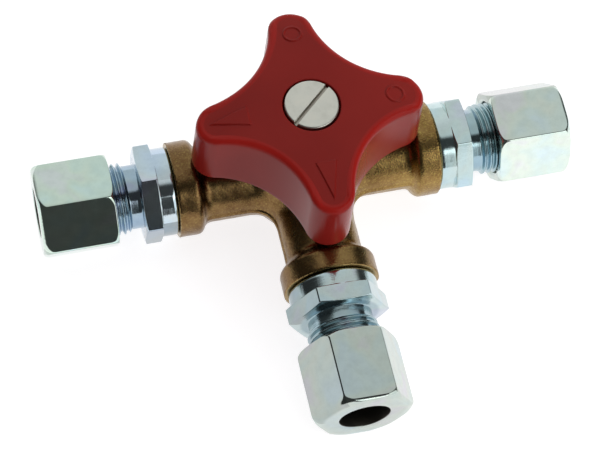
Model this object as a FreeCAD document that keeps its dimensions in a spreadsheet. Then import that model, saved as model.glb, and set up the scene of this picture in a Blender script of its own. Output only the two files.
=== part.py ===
import FreeCAD, Part
import Sketcher
import math
import os
from FreeCAD import Vector, Rotation, Placement

# Three-way valve: forged brass T body with an L-bored ball, a four-armed
# star handle on a square stem, and a 24-degree-cone tube fitting in each
# of its three ports.  Millimetres, +Z up.
#
# Frame: the origin is the centre of the flat pad under the body, on the
# stem axis.  +X runs to the right port, -Y to the branch port.

doc = FreeCAD.newDocument("ThreeWayValve")
sheet = doc.addObject("Spreadsheet::Sheet", "Dims")

ROOT3 = 1.7320508075688772


class Q:
    """A length that knows its value and the sheet expression behind it."""

    def __init__(self, value, text):
        self.v = float(value)
        self.e = text

    def __add__(self, other):
        o = q(other)
        return Q(self.v + o.v, "(%s + %s)" % (self.e, o.e))

    __radd__ = __add__

    def __sub__(self, other):
        o = q(other)
        return Q(self.v - o.v, "(%s - %s)" % (self.e, o.e))

    def __rsub__(self, other):
        return q(other) - self

    def __mul__(self, other):
        o = q(other)
        return Q(self.v * o.v, "(%s * %s)" % (self.e, o.e))

    __rmul__ = __mul__

    def __truediv__(self, other):
        o = q(other)
        return Q(self.v / o.v, "(%s / %s)" % (self.e, o.e))

    def __neg__(self):
        return Q(-self.v, "(0 - %s)" % self.e)


def q(x):
    return x if isinstance(x, Q) else Q(x, repr(round(float(x), 9)))


row = [0]
D = {}


def dim(alias, value, note):
    row[0] += 1
    sheet.set("A%d" % row[0], note)
    sheet.set("B%d" % row[0], str(value))
    sheet.setAlias("B%d" % row[0], alias)
    D[alias] = Q(value, "Dims.%s" % alias)
    return D[alias]


# ---------------------------------------------------------------- sizes
# body
axis_z = dim("axis_z", 12.8, "height of the port axes above the base pad")
port_face = dim("port_face", 33.1, "stem axis to port face")
boss_r = dim("boss_r", 11.9, "radius of the collar at each port")
boss_len = dim("boss_len", 6.2, "axial length of the port collar")
boss_round = dim("boss_round", 1.2, "rounding on the back of the port collar")
neck_len = dim("neck_len", 2.0, "taper from collar down to the tube")
tube_r = dim("tube_r", 9.4, "outside radius of the three body tubes")
land_half = dim("land_half", 0.8, "half thickness of the forging parting land")
land_out = dim("land_out", 0.35, "how far the parting land stands out")
corner_r = dim("corner_r", 4.0, "radius in the corners of the T")
hub_r = dim("hub_r", 12.0, "radius of the hub under the handle")
hub_top = dim("hub_top", 27.8, "top of the hub")
pad_r = dim("pad_r", 8.5, "radius of the base pad")
port_r = dim("port_r", 8.0, "port thread bore, thread stood in by its pitch radius")
port_depth = dim("port_depth", 12.0, "depth of the port thread")
seat_bore_r = dim("seat_bore_r", 7.475, "bore behind the port thread")
cavity_r = dim("cavity_r", 8.8, "radius of the ball chamber")
cavity_floor = dim("cavity_floor", 4.0, "floor of the ball chamber")
bonnet_z = dim("bonnet_z", 21.8, "step the bonnet screws down to")
bonnet_bore_r = dim("bonnet_bore_r", 9.6, "radius of the bonnet thread bore")
# ball and stem
ball_r = dim("ball_r", 8.5, "radius of the ball")
flow_r = dim("flow_r", 4.0, "radius of the L bore")
slot_w = dim("slot_w", 4.0, "width of the drive slot in the ball")
slot_deep = dim("slot_deep", 3.0, "depth of the drive slot")
tang_w = dim("tang_w", 3.9, "thickness of the stem tang")
tang_long = dim("tang_long", 10.0, "width of the stem tang")
stem_r = dim("stem_r", 5.0, "radius of the stem")
stem_collar_r = dim("stem_collar_r", 7.0, "radius of the stem collar")
stem_collar_z = dim("stem_collar_z", 21.8, "underside of the stem collar")
stem_collar_len = dim("stem_collar_len", 1.9, "thickness of the stem collar")
stem_square = dim("stem_square", 7.0, "square across flats on the stem")
square_z = dim("square_z", 32.1, "start of the square")
stem_top = dim("stem_top", 40.8, "top of the stem")
stem_hole_r = dim("stem_hole_r", 2.5, "screw hole in the stem")
stem_hole_deep = dim("stem_hole_deep", 9.0, "depth of that hole")
ring_sec = dim("ring_sec", 0.6, "half thickness of the stem O-rings")
ring_mid_r = dim("ring_mid_r", 4.43, "mid radius of the stem O-rings")
groove_r = dim("groove_r", 3.8, "floor of the O-ring grooves")
groove_half = dim("groove_half", 0.75, "half width of the O-ring grooves")
oring_low_z = dim("oring_low_z", 26.4, "height of the lower stem O-ring")
oring_top_z = dim("oring_top_z", 29.2, "height of the upper stem O-ring")
# bonnet
bonnet_r = dim("bonnet_r", 9.55, "radius of the bonnet thread")
bonnet_hex = dim("bonnet_hex", 20.0, "bonnet hexagon across flats")
bonnet_top = dim("bonnet_top", 31.8, "top of the bonnet")
bonnet_recess_r = dim("bonnet_recess_r", 7.1, "recess over the stem collar")
bonnet_recess_z = dim("bonnet_recess_z", 24.3, "roof of that recess")
bonnet_groove_z = dim("bonnet_groove_z", 26.4, "height of the bonnet seal groove")
bonnet_groove_r = dim("bonnet_groove_r", 8.36, "floor of the bonnet seal groove")
bonnet_seal_r = dim("bonnet_seal_r", 8.98, "mid radius of the bonnet O-ring")
washer_in = dim("washer_in", 5.1, "thrust washer inner radius")
washer_out = dim("washer_out", 6.9, "thrust washer outer radius")
washer_thick = dim("washer_thick", 0.5, "thrust washer thickness")
# seats
seat_in = dim("seat_in", 4.2, "seat bore radius")
seat_out = dim("seat_out", 6.2, "seat outer radius")
seat_near = dim("seat_near", 6.35, "seat face nearest the ball centre")
seat_far = dim("seat_far", 10.5, "seat back face")
seat_gap = dim("seat_gap", 0.03, "gap between ball and seat")
carrier_r = dim("carrier_r", 7.42, "seat retainer outer radius")
carrier_near = dim("carrier_near", 9.0, "seat retainer inner face")
carrier_far = dim("carrier_far", 15.0, "seat retainer outer face")
carrier_slot = dim("carrier_slot", 2.0, "driver slot across the retainer")
# tube fittings, measured outward from the port face
across_flats = dim("across_flats", 22.0, "nut and stud hexagon across flats")
stud_r = dim("stud_r", 7.93, "port thread of the stud, at its pitch radius")
stud_in = dim("stud_in", 11.0, "length of the port thread on the stud")
relief_r = dim("relief_r", 7.3, "thread relief under the collar")
relief_len = dim("relief_len", 2.0, "length of that relief")
collar_r = dim("collar_r", 11.0, "radius of the round collar")
collar_len = dim("collar_len", 4.05, "length of the round collar")
hex_len = dim("hex_len", 4.4, "length of the stud hexagon")
neck_r = dim("neck_r", 7.95, "radius of the neck behind the nut thread")
neck_end = dim("neck_end", 11.3, "where the nut thread begins")
thread_r = dim("thread_r", 8.9, "crest radius of the nut thread")
thread_root = dim("thread_root", 8.0, "root radius of the nut thread")
pitch = dim("pitch", 1.5, "thread pitch")
stud_end = dim("stud_end", 22.5, "outer end of the stud")
flow_bore = dim("flow_bore", 5.0, "bore through the stud")
socket_r = dim("socket_r", 6.1, "tube socket radius, for a 12 mm tube")
socket_floor = dim("socket_floor", 14.5, "tube stop")
cone_mouth = dim("cone_mouth", 7.05, "mouth radius of the 24 degree cone")
cone_start = dim("cone_start", 18.03, "inner end of the cone")
face_seal_in = dim("face_seal_in", 8.7, "collar seal inner radius")
face_seal_out = dim("face_seal_out", 9.9, "collar seal outer radius")
face_seal_deep = dim("face_seal_deep", 1.1, "depth of the collar seal groove")
# union nut, measured from its own inner end
nut_len = dim("nut_len", 18.6, "length of the union nut")
nut_bore_r = dim("nut_bore_r", 9.05, "nut thread bore")
nut_thread_len = dim("nut_thread_len", 10.6, "length of the nut thread")
nut_hole_r = dim("nut_hole_r", 6.2, "tube hole in the nut")
nut_face_r = dim("nut_face_r", 10.35, "radius where the nut rounding meets its end")
nut_chamfer = dim("nut_chamfer", 2.0, "axial depth of the rounded corner")
nut_left = dim("nut_left", 15.0, "left nut, port face to inner end")
nut_right = dim("nut_right", 15.5, "right nut, port face to inner end")
nut_branch = dim("nut_branch", 15.9, "branch nut, port face to inner end")
# cutting ring, measured from the nut's inner end
cut_front = dim("cut_front", 4.8, "front edge of the cutting ring")
cut_front_r = dim("cut_front_r", 6.40, "outer radius at the front edge")
cut_mid = dim("cut_mid", 7.6, "end of the cone part")
cut_mid_r = dim("cut_mid_r", 6.98, "outer radius there")
cut_back_r = dim("cut_back_r", 8.3, "outer radius of the ring back")
cut_back = dim("cut_back", 9.0, "start of the ring back")
cone_gap = dim("cone_gap", 0.07, "gap between ring back and nut cone")
# handle
grip_low = dim("grip_low", 26.3, "bottom edge of the handle skirt")
grip_top = dim("grip_top", 45.1, "top of the handle at its middle")
grip_drop = dim("grip_drop", 2.4, "how much lower the arm tips are")
grip_tip_at = dim("grip_tip_at", 22.75, "centre of the arm tip rounding, at the skirt")
grip_tip_r = dim("grip_tip_r", 5.6, "arm tip rounding, at the skirt")
grip_waist = dim("grip_waist", 16.9, "least radius between the arms, at the skirt")
grip_hollow = dim("grip_hollow", 24.6, "radius of the hollow between two arms")
grip_draft = dim("grip_draft", 2.3, "draft of the outer wall in degrees")
grip_wall = dim("grip_wall", 2.4, "wall thickness of the handle")
grip_roof = dim("grip_roof", 40.6, "underside of the handle's top")
grip_edge = dim("grip_edge", 1.6, "rounding of the top edge")
grip_boss_r = dim("grip_boss_r", 7.6, "radius of the boss inside")
grip_boss_z = dim("grip_boss_z", 32.8, "bottom of that boss")
grip_square = dim("grip_square", 7.1, "square hole across flats")
grip_square_top = dim("grip_square_top", 41.0, "end of the square hole")
grip_cbore_r = dim("grip_cbore_r", 6.95, "counterbore for the screw head")
grip_cbore_z = dim("grip_cbore_z", 42.0, "floor of the counterbore")
grip_hole_r = dim("grip_hole_r", 2.8, "screw hole through the handle")
# handle screw and washer
head_r = dim("head_r", 6.5, "screw head radius")
head_low = dim("head_low", 42.8, "underside of the screw head")
head_top = dim("head_top", 45.4, "top of the screw head")
head_bevel = dim("head_bevel", 0.35, "bevel on the head")
cut_w = dim("cut_w", 1.1, "driver slot width")
cut_deep = dim("cut_deep", 1.3, "driver slot depth")
shank_r = dim("shank_r", 2.45, "screw shank radius")
shank_low = dim("shank_low", 32.8, "end of the screw")
lock_out = dim("lock_out", 4.6, "lock washer outer radius")
lock_in = dim("lock_in", 2.7, "lock washer inner radius")
doc.recompute()


# ------------------------------------------------------------- helpers
def origin_plane(body, role):
    for f in body.Origin.OriginFeatures:
        if f.Role == role:
            return f
    raise RuntimeError(role)


def sketch(body, name, plane, offset=None):
    sk = body.newObject("Sketcher::SketchObject", name)
    sk.AttachmentSupport = [(origin_plane(body, plane), "")]
    sk.MapMode = "FlatFace"
    if offset is not None:
        sk.AttachmentOffset = Placement(Vector(0, 0, offset.v), Rotation())
        sk.setExpression(".AttachmentOffset.Base.z", offset.e)
    return sk


def hold(sk, geo, pos, x, y):
    """Pin one point of a sketch at (x, y), both bound to the sheet."""
    for kind, val, axis in (("DistanceX", x, -2), ("DistanceY", y, -1)):
        if abs(val.v) < 1e-9:
            sk.addConstraint(Sketcher.Constraint("PointOnObject", geo, pos, axis))
        elif val.v > 0:
            i = sk.addConstraint(Sketcher.Constraint(kind, -1, 1, geo, pos, val.v))
            sk.setExpression("Constraints[%d]" % i, val.e)
        else:
            i = sk.addConstraint(Sketcher.Constraint(kind, geo, pos, -1, 1, -val.v))
            sk.setExpression("Constraints[%d]" % i, (-val).e)


def polygon(sk, points):
    pts = [(q(a), q(b)) for a, b in points]
    n = len(pts)
    first = sk.GeometryCount
    for i in range(n):
        a, b = pts[i], pts[(i + 1) % n]
        sk.addGeometry(Part.LineSegment(Vector(a[0].v, a[1].v, 0),
                                        Vector(b[0].v, b[1].v, 0)))
    for i in range(n):
        sk.addConstraint(Sketcher.Constraint(
            "Coincident", first + i, 2, first + (i + 1) % n, 1))
    for i in range(n):
        hold(sk, first + i, 1, *pts[i])


def circle(sk, x, y, r):
    x, y, r = q(x), q(y), q(r)
    g = sk.addGeometry(Part.Circle(Vector(x.v, y.v, 0), Vector(0, 0, 1), r.v))
    if abs(x.v) < 1e-9 and abs(y.v) < 1e-9:
        sk.addConstraint(Sketcher.Constraint("Coincident", g, 3, -1, 1))
    else:
        hold(sk, g, 3, x, y)
    i = sk.addConstraint(Sketcher.Constraint("Radius", g, r.v))
    sk.setExpression("Constraints[%d]" % i, r.e)


def hexagon(sk, across):
    c = q(across) / ROOT3
    h = q(across) / 2
    polygon(sk, [(c, 0), (c / 2, h), (-(c / 2), h),
                 (-c, 0), (-(c / 2), -h), (c / 2, -h)])


def rectangle(sk, x0, x1, y0, y1):
    polygon(sk, [(x0, y0), (x1, y0), (x1, y1), (x0, y1)])


def body_of(name):
    b = doc.addObject("PartDesign::Body", name)
    b.Label = name
    return b


def revolve(body, name, points, plane="XZ_Plane", cut=False, axis="V_Axis"):
    sk = sketch(body, name + "_profile", plane)
    polygon(sk, points)
    kind = "PartDesign::Groove" if cut else "PartDesign::Revolution"
    f = body.newObject(kind, name)
    f.Profile = sk
    f.ReferenceAxis = (sk, [axis])
    f.Angle = 360.0
    doc.recompute()
    return f


def pad(body, name, sk, length, taper=None, symmetric=False, reverse=False):
    f = body.newObject("PartDesign::Pad", name)
    f.Profile = sk
    f.Length = length.v
    f.setExpression("Length", length.e)
    if symmetric:
        f.Midplane = True
    if reverse:
        f.Reversed = True
    if taper is not None:
        f.TaperAngle = taper.v
        f.setExpression("TaperAngle", taper.e)
    doc.recompute()
    return f


def pocket(body, name, sk, length, up=True, symmetric=False):
    """Cut upward from the sketch plane when up is set; the volume must drop."""
    before = body.Shape.Volume
    f = body.newObject("PartDesign::Pocket", name)
    f.Profile = sk
    f.Length = length.v
    f.setExpression("Length", length.e)
    if symmetric:
        f.Midplane = True
    else:
        f.Reversed = bool(up)
    doc.recompute()
    if not body.Shape.Volume < before - 1e-4:
        raise RuntimeError("%s cuts nothing" % name)
    return f


def place(obj, pos, rot=Rotation()):
    obj.Placement = Placement(Vector(*pos), rot)


# Port frames: local Z points out of the port, local X is up.
PORTS = {
    "left": Rotation(Vector(0, 0, 1), Vector(0, 1, 0), Vector(-1, 0, 0), "ZXY"),
    "right": Rotation(Vector(0, 0, 1), Vector(0, -1, 0), Vector(1, 0, 0), "ZXY"),
    "branch": Rotation(Vector(0, 0, 1), Vector(-1, 0, 0), Vector(0, -1, 0), "ZXY"),
}
OUT = {"left": Vector(-1, 0, 0), "right": Vector(1, 0, 0), "branch": Vector(0, -1, 0)}
NUT_TURN = {"left": -22.2, "right": 34.1, "branch": -33.7}
STUD_TURN = {"left": -11.7, "right": 28.8, "branch": -33.0}
NUT_AT = {"left": nut_left, "right": nut_right, "branch": nut_branch}


def port_place(obj, side, along, turn=0.0):
    """Stand obj's local origin at distance along out from the stem axis."""
    rot = PORTS[side].multiply(Rotation(Vector(0, 0, 1), turn))
    pos = Vector(0, 0, axis_z.v) + OUT[side] * along.v
    obj.Placement = Placement(pos, rot)
    comp = {"left": ("x", -along), "right": ("x", along), "branch": ("y", -along)}[side]
    obj.setExpression(".Placement.Base.%s" % comp[0], comp[1].e)
    obj.setExpression(".Placement.Base.z", axis_z.e)


nodes = []


def keep(obj):
    nodes.append(obj)
    return obj


# ---------------------------------------------------------------- body
vb = body_of("valve_body")
# run between the left and right ports, turned about the X axis
back = port_face - boss_len
run = sketch(vb, "run_profile", "XY_Plane")
polygon(run, [
    (-port_face, 0), (-port_face, boss_r), (-(back + boss_round), boss_r),
    (-(back + boss_round * 0.3), boss_r - boss_round * 0.3),
    (-back, boss_r - boss_round), (-(back - neck_len * 0.4), tube_r + 0.35),
    (-(back - neck_len), tube_r),
    (back - neck_len, tube_r), (back - neck_len * 0.4, tube_r + 0.35),
    (back, boss_r - boss_round), (back + boss_round * 0.3, boss_r - boss_round * 0.3),
    (back + boss_round, boss_r), (port_face, boss_r), (port_face, 0)])
f = vb.newObject("PartDesign::Revolution", "run")
f.Profile = run
f.ReferenceAxis = (run, ["H_Axis"])
f.Angle = 360.0
doc.recompute()
branch = sketch(vb, "branch_profile", "XY_Plane")
polygon(branch, [
    (0, 0), (0, -port_face), (boss_r, -port_face), (boss_r, -(back + boss_round)),
    (boss_r - boss_round * 0.3, -(back + boss_round * 0.3)),
    (boss_r - boss_round, -back), (tube_r + 0.35, -(back - neck_len * 0.4)),
    (tube_r, -(back - neck_len)), (tube_r, 0)])
f = vb.newObject("PartDesign::Revolution", "branch_tube")
f.Profile = branch
f.ReferenceAxis = (branch, ["V_Axis"])
f.Angle = 360.0
doc.recompute()
# the profiles above turn about z = 0: the body is lifted by its Placement
sk = sketch(vb, "hub_circle", "XY_Plane", -axis_z + 2.5)
circle(sk, 0, 0, hub_r)
pad(vb, "hub", sk, hub_top - 2.5)
sk = sketch(vb, "pad_circle", "XY_Plane", -axis_z)
circle(sk, 0, 0, pad_r)
pad(vb, "base_pad", sk, q(6.0))
# parting land: a thin T plate round the middle of the forging
w = tube_r + land_out
c = w + corner_r * 0.30
d = w + corner_r
sk = sketch(vb, "land_outline", "XY_Plane")
inner = back - neck_len
polygon(sk, [
    (-inner, w), (-inner, -w), (-d, -w), (-c, -c), (-w, -d), (-w, -inner),
    (w, -inner), (w, -d), (c, -c), (d, -w), (inner, -w), (inner, w)])
pad(vb, "parting_land", sk, land_half * 2, symmetric=True)
# bores
sk = sketch(vb, "chamber_circle", "XY_Plane", -axis_z + cavity_floor)
circle(sk, 0, 0, cavity_r)
pocket(vb, "chamber", sk, hub_top)
sk = sketch(vb, "bonnet_circle", "XY_Plane", -axis_z + bonnet_z)
circle(sk, 0, 0, bonnet_bore_r)
pocket(vb, "bonnet_bore", sk, q(10.0))
step = port_face - port_depth
sk = sketch(vb, "run_bore_profile", "XY_Plane")
polygon(sk, [
    (-port_face, 0), (-port_face, port_r + 0.6), (-(port_face - 0.6), port_r),
    (-step, port_r), (-step, seat_bore_r), (step, seat_bore_r), (step, port_r),
    (port_face - 0.6, port_r), (port_face, port_r + 0.6), (port_face, 0)])
before = vb.Shape.Volume
f = vb.newObject("PartDesign::Groove", "run_bore")
f.Profile = sk
f.ReferenceAxis = (sk, ["H_Axis"])
f.Angle = 360.0
doc.recompute()
sk = sketch(vb, "branch_bore_profile", "XY_Plane")
polygon(sk, [
    (0, -port_face), (port_r + 0.6, -port_face), (port_r, -(port_face - 0.6)),
    (port_r, -step), (seat_bore_r, -step), (seat_bore_r, -1.0), (0, -1.0)])
f = vb.newObject("PartDesign::Groove", "branch_bore")
f.Profile = sk
f.ReferenceAxis = (sk, ["V_Axis"])
f.Angle = 360.0
doc.recompute()
if not vb.Shape.Volume < before:
    raise RuntimeError("port bores cut nothing")
place(vb, (0, 0, axis_z.v))
vb.setExpression(".Placement.Base.z", axis_z.e)
keep(vb)

# ---------------------------------------------------------------- ball
ball_raw = doc.addObject("Part::Sphere", "ball_round")
ball_raw.setExpression("Radius", ball_r.e)
bore_a = doc.addObject("Part::Cylinder", "ball_bore_left")
bore_a.setExpression("Radius", flow_r.e)
bore_a.Height = 12
bore_a.Placement = Placement(Vector(0, 0, 0), Rotation(Vector(0, 1, 0), -90))
bore_b = doc.addObject("Part::Cylinder", "ball_bore_branch")
bore_b.setExpression("Radius", flow_r.e)
bore_b.Height = 12
bore_b.Placement = Placement(Vector(0, 0, 0), Rotation(Vector(1, 0, 0), 90))
bend = doc.addObject("Part::Sphere", "ball_bore_elbow")
bend.setExpression("Radius", flow_r.e)
slot = doc.addObject("Part::Box", "ball_slot")
slot.Length = 20
slot.setExpression("Width", slot_w.e)
slot.setExpression("Height", "%s + 2" % slot_deep.e)
slot.Placement = Placement(Vector(-10, -slot_w.v / 2, ball_r.v - slot_deep.v), Rotation())
slot.setExpression(".Placement.Base.y", "0 - %s / 2" % slot_w.e)
slot.setExpression(".Placement.Base.z", "%s - %s" % (ball_r.e, slot_deep.e))
ways = doc.addObject("Part::MultiFuse", "ball_ways")
ways.Shapes = [bore_a, bore_b, bend, slot]
ball = doc.addObject("Part::Cut", "flow_ball")
ball.Base = ball_raw
ball.Tool = ways
ball.Label = "flow_ball"
place(ball, (0, 0, axis_z.v))
ball.setExpression(".Placement.Base.z", axis_z.e)
keep(ball)
doc.recompute()

# ---------------------------------------------------------------- stem
stem = body_of("stem")
tip = axis_z + ball_r - slot_deep + 0.15
revolve(stem, "stem_turned", [
    (0, stem_collar_z), (stem_collar_r, stem_collar_z),
    (stem_collar_r, stem_collar_z + stem_collar_len),
    (stem_r, stem_collar_z + stem_collar_len),
    (stem_r, oring_low_z - groove_half), (groove_r, oring_low_z - groove_half),
    (groove_r, oring_low_z + groove_half), (stem_r, oring_low_z + groove_half),
    (stem_r, oring_top_z - groove_half), (groove_r, oring_top_z - groove_half),
    (groove_r, oring_top_z + groove_half), (stem_r, oring_top_z + groove_half),
    (stem_r, square_z), (0, square_z)])
sk = sketch(stem, "tang_shape", "XY_Plane", tip)
rectangle(sk, -(tang_long / 2), tang_long / 2, -(tang_w / 2), tang_w / 2)
pad(stem, "tang", sk, stem_collar_z - tip)
sk = sketch(stem, "square_shape", "XY_Plane", square_z)
rectangle(sk, -(stem_square / 2), stem_square / 2, -(stem_square / 2), stem_square / 2)
pad(stem, "square", sk, stem_top - square_z)
sk = sketch(stem, "screw_hole_circle", "XY_Plane", stem_top - stem_hole_deep)
circle(sk, 0, 0, stem_hole_r)
pocket(stem, "screw_hole", sk, stem_hole_deep + 1.0)
keep(stem)


def o_ring(name, mid, half, z):
    t = doc.addObject("Part::Torus", name)
    t.Label = name
    t.setExpression("Radius1", mid.e)
    t.setExpression("Radius2", half.e)
    place(t, (0, 0, z.v))
    t.setExpression(".Placement.Base.z", z.e)
    return keep(t)


o_ring("stem_o_ring_lower", ring_mid_r, ring_sec, oring_low_z)
o_ring("stem_o_ring_upper", ring_mid_r, ring_sec, oring_top_z)
o_ring("bonnet_o_ring", bonnet_seal_r, ring_sec, bonnet_groove_z)

# -------------------------------------------------------------- bonnet
bn = body_of("bonnet")
sk = sketch(bn, "bonnet_hexagon", "XY_Plane", hub_top + 0.05)
hexagon(sk, bonnet_hex)
pad(bn, "bonnet_hex_pad", sk, bonnet_top - hub_top - 0.05)
revolve(bn, "bonnet_thread", [
    (0, bonnet_z + 0.1), (bonnet_r, bonnet_z + 0.1),
    (bonnet_r, bonnet_groove_z - 0.75), (bonnet_groove_r, bonnet_groove_z - 0.75),
    (bonnet_groove_r, bonnet_groove_z + 0.75), (bonnet_r, bonnet_groove_z + 0.75),
    (bonnet_r, hub_top + 0.5), (0, hub_top + 0.5)])
corner = bonnet_hex / ROOT3 + 0.5
revolve(bn, "bonnet_bevel", [
    (bonnet_hex / 2 - 0.2, bonnet_top + 0.1), (corner, bonnet_top + 0.1),
    (corner, bonnet_top - 1.1)], cut=True)
revolve(bn, "bonnet_bore", [
    (0, bonnet_z), (bonnet_recess_r, bonnet_z), (bonnet_recess_r, bonnet_recess_z),
    (stem_r + 0.05, bonnet_recess_z), (stem_r + 0.05, bonnet_top + 1.0),
    (0, bonnet_top + 1.0)], cut=True)
keep(bn)

tw = body_of("stem_thrust_washer")
low = stem_collar_z + stem_collar_len + 0.04
revolve(tw, "thrust_washer", [
    (washer_in, low), (washer_out, low),
    (washer_out, low + washer_thick), (washer_in, low + washer_thick)])
keep(tw)

# ------------------------------------------------------ seats, retainers
for side in ("left", "right", "branch"):
    s = body_of("%s_ball_seat" % side)
    revolve(s, "%s_seat_ring" % side, [
        (seat_in, seat_near), (seat_out, seat_near),
        (seat_out, seat_far), (seat_in, seat_far)])
    sk = sketch(s, "%s_seat_dish_profile" % side, "XZ_Plane")
    g = sk.addGeometry(Part.ArcOfCircle(
        Part.Circle(Vector(0, 0, 0), Vector(0, 0, 1), ball_r.v + seat_gap.v),
        -math.pi / 2, math.pi / 2))
    ln = sk.addGeometry(Part.LineSegment(Vector(0, ball_r.v, 0), Vector(0, -ball_r.v, 0)))
    sk.addConstraint(Sketcher.Constraint("Coincident", g, 3, -1, 1))
    sk.addConstraint(Sketcher.Constraint("Coincident", g, 2, ln, 1))
    sk.addConstraint(Sketcher.Constraint("Coincident", g, 1, ln, 2))
    sk.addConstraint(Sketcher.Constraint("PointOnObject", ln, 1, -2))
    i = sk.addConstraint(Sketcher.Constraint("Radius", g, ball_r.v + seat_gap.v))
    sk.setExpression("Constraints[%d]" % i, (ball_r + seat_gap).e)
    before = s.Shape.Volume
    dish = s.newObject("PartDesign::Groove", "%s_seat_dish" % side)
    dish.Profile = sk
    dish.ReferenceAxis = (sk, ["V_Axis"])
    dish.Angle = 360.0
    doc.recompute()
    if not s.Shape.Volume < before:
        raise RuntimeError("seat dish cuts nothing")
    port_place(s, side, q(0.0))
    keep(s)

    r = body_of("%s_seat_retainer" % side)
    revolve(r, "%s_retainer_ring" % side, [
        (seat_out + 0.05, carrier_near), (carrier_r, carrier_near),
        (carrier_r, carrier_far), (seat_in, carrier_far),
        (seat_in, seat_far + 0.02), (seat_out + 0.05, seat_far + 0.02)])
    sk = sketch(r, "%s_driver_slot_shape" % side, "XY_Plane", carrier_far - 1.6)
    rectangle(sk, q(-9.0), q(9.0), -(carrier_slot / 2), carrier_slot / 2)
    pocket(r, "%s_driver_slot" % side, sk, q(3.0))
    port_place(r, side, q(0.0), 45.0)
    keep(r)

# ---------------------------------------------------------- tube fittings
for side in ("left", "right", "branch"):
    st = body_of("%s_stud_fitting" % side)
    sk = sketch(st, "%s_stud_hexagon" % side, "XY_Plane", collar_len - 0.2)
    hexagon(sk, across_flats)
    pad(st, "%s_stud_hex" % side, sk, hex_len + 0.2)
    corner = across_flats / ROOT3
    hex_end = collar_len + hex_len
    # the hexagon's corners fall away to the round collar behind them
    revolve(st, "%s_stud_back_bevel" % side, [
        (across_flats / 2, collar_len - 0.3), (corner + 0.5, collar_len - 0.3),
        (corner + 0.5, collar_len + (corner + 0.5 - across_flats / 2) * 0.2),
        (across_flats / 2, collar_len)], cut=True)
    revolve(st, "%s_stud_front_bevel" % side, [
        (across_flats / 2 - 0.3, hex_end + 0.3), (across_flats / 2 - 0.3, hex_end),
        (corner + 0.5, hex_end - (corner + 0.8 - across_flats / 2) * 0.25),
        (corner + 0.5, hex_end + 0.3)], cut=True)
    prof = [
        (0, -stud_in), (stud_r - 0.7, -stud_in), (stud_r, -(stud_in - 0.7)),
        (stud_r, -relief_len), (relief_r, -relief_len), (relief_r, 0),
        (face_seal_in, 0), (face_seal_in, face_seal_deep),
        (face_seal_out, face_seal_deep), (face_seal_out, 0),
        (collar_r - 0.35, 0), (collar_r, q(0.35)), (collar_r, collar_len),
        (neck_r + 1.0, collar_len), (neck_r + 1.0, hex_end), (neck_r, hex_end),
        (neck_r, neck_end - 0.7)]
    turns = int((stud_end.v - neck_end.v - 1.0) / pitch.v)
    for k in range(turns):
        z0 = neck_end + pitch * k
        prof += [(thread_root, z0), (thread_r, z0 + pitch * 0.42),
                 (thread_r, z0 + pitch * 0.58)]
    z0 = neck_end + pitch * turns
    prof += [(thread_root, z0), (thread_r - 0.25, z0 + pitch * 0.3),
             (thread_root + 0.1, stud_end), (0, stud_end)]
    revolve(st, "%s_stud_turned" % side, prof)
    revolve(st, "%s_stud_bore" % side, [
        (0, -(stud_in + 1.0)), (flow_bore, -(stud_in + 1.0)), (flow_bore, socket_floor),
        (socket_r, socket_floor), (socket_r, cone_start), (cone_mouth, stud_end),
        (cone_mouth, stud_end + 1.0), (0, stud_end + 1.0)], cut=True)
    port_place(st, side, port_face, STUD_TURN[side])
    keep(st)

    seal = body_of("%s_collar_seal" % side)
    revolve(seal, "%s_seal_ring" % side, [
        (face_seal_in + 0.04, q(0.0)), (face_seal_out - 0.04, q(0.0)),
        (face_seal_out - 0.04, face_seal_deep - 0.05),
        (face_seal_in + 0.04, face_seal_deep - 0.05)])
    port_place(seal, side, port_face)
    keep(seal)

    nt = body_of("%s_union_nut" % side)
    sk = sketch(nt, "%s_nut_hexagon" % side, "XY_Plane")
    hexagon(sk, across_flats)
    pad(nt, "%s_nut_hex" % side, sk, nut_len)
    # both ends of the hexagon are rounded off, most at the corners
    c, far = nut_chamfer, corner + 1.0
    revolve(nt, "%s_nut_outer_bevel" % side, [
        (nut_face_r, nut_len + 0.5), (nut_face_r, nut_len),
        (nut_face_r + 0.55, nut_len - c * 0.15), (nut_face_r + 1.05, nut_len - c * 0.3),
        (nut_face_r + 1.6, nut_len - c * 0.5), (corner - 0.3, nut_len - c * 0.75),
        (corner + 0.02, nut_len - c * 1.05),
        (far, nut_len - c * 1.05), (far, nut_len + 0.5)], cut=True)
    revolve(nt, "%s_nut_inner_bevel" % side, [
        (nut_face_r + 0.3, q(-0.5)), (far, q(-0.5)), (far, c * 1.05),
        (corner + 0.02, c * 1.05), (corner - 0.25, c * 0.6),
        (nut_face_r + 1.6, c * 0.3), (nut_face_r + 0.8, c * 0.1),
        (nut_face_r + 0.3, q(0.0))], cut=True)
    cone_end = nut_thread_len + (nut_bore_r - nut_hole_r)
    revolve(nt, "%s_nut_bore" % side, [
        (0, q(-0.5)), (nut_bore_r + 0.6, q(-0.5)), (nut_bore_r + 0.6, q(0.0)),
        (nut_bore_r, q(0.6)), (nut_bore_r, nut_thread_len),
        (nut_hole_r, cone_end), (nut_hole_r, nut_len - 0.25),
        (nut_hole_r + 0.25, nut_len), (nut_hole_r + 0.25, nut_len + 0.5),
        (0, nut_len + 0.5)], cut=True)
    port_place(nt, side, port_face + NUT_AT[side], NUT_TURN[side])
    keep(nt)

    cr = body_of("%s_cutting_ring" % side)
    cone_at = nut_thread_len + (nut_bore_r - cut_back_r) - cone_gap
    tail = cone_at + (cut_back_r - socket_r - 0.5)
    revolve(cr, "%s_ring_turned" % side, [
        (socket_r, cut_front), (cut_front_r, cut_front), (cut_mid_r, cut_mid),
        (cut_back_r, cut_back), (cut_back_r, cone_at),
        (socket_r + 0.5, tail), (socket_r, tail)])
    port_place(cr, side, port_face + NUT_AT[side])
    keep(cr)

# -------------------------------------------------------------- handle
gr = body_of("handle")


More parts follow.
